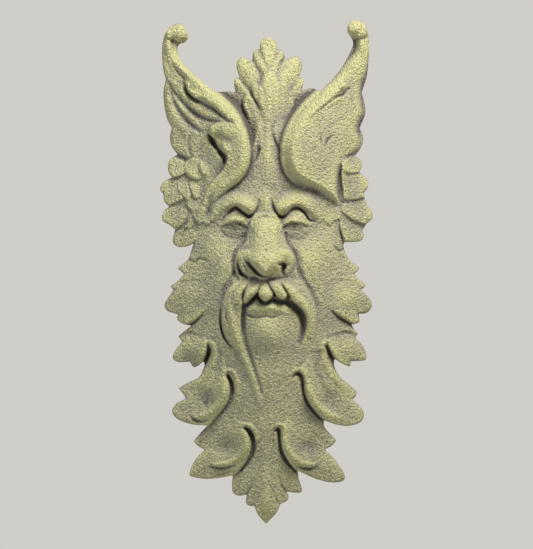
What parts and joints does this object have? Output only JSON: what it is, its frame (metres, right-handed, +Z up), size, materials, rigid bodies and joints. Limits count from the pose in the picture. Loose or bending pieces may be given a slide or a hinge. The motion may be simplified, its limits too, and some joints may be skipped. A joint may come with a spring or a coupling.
{
  "type": "foliate wall mask",
  "caption": "Tall cast wall mask of a horned face with a leaf crown, side leaves and a beard of acanthus leaves, flat at the back.",
  "frame": {"origin": "on the flat back, at the middle of the mask's height and on the line of its nose", "axes": "+Z up, +X to the viewer's right, +Y into the wall, so the face looks along -Y"},
  "size_m": [0.2126, 0.0771, 0.5042],
  "materials": {
    "cast_stone": "matt, sandy grained, cream on the high parts and grey in the hollows"
  },
  "bodies": {
    "root": {"mask": "cast_stone"}
  },
  "joints": []
}
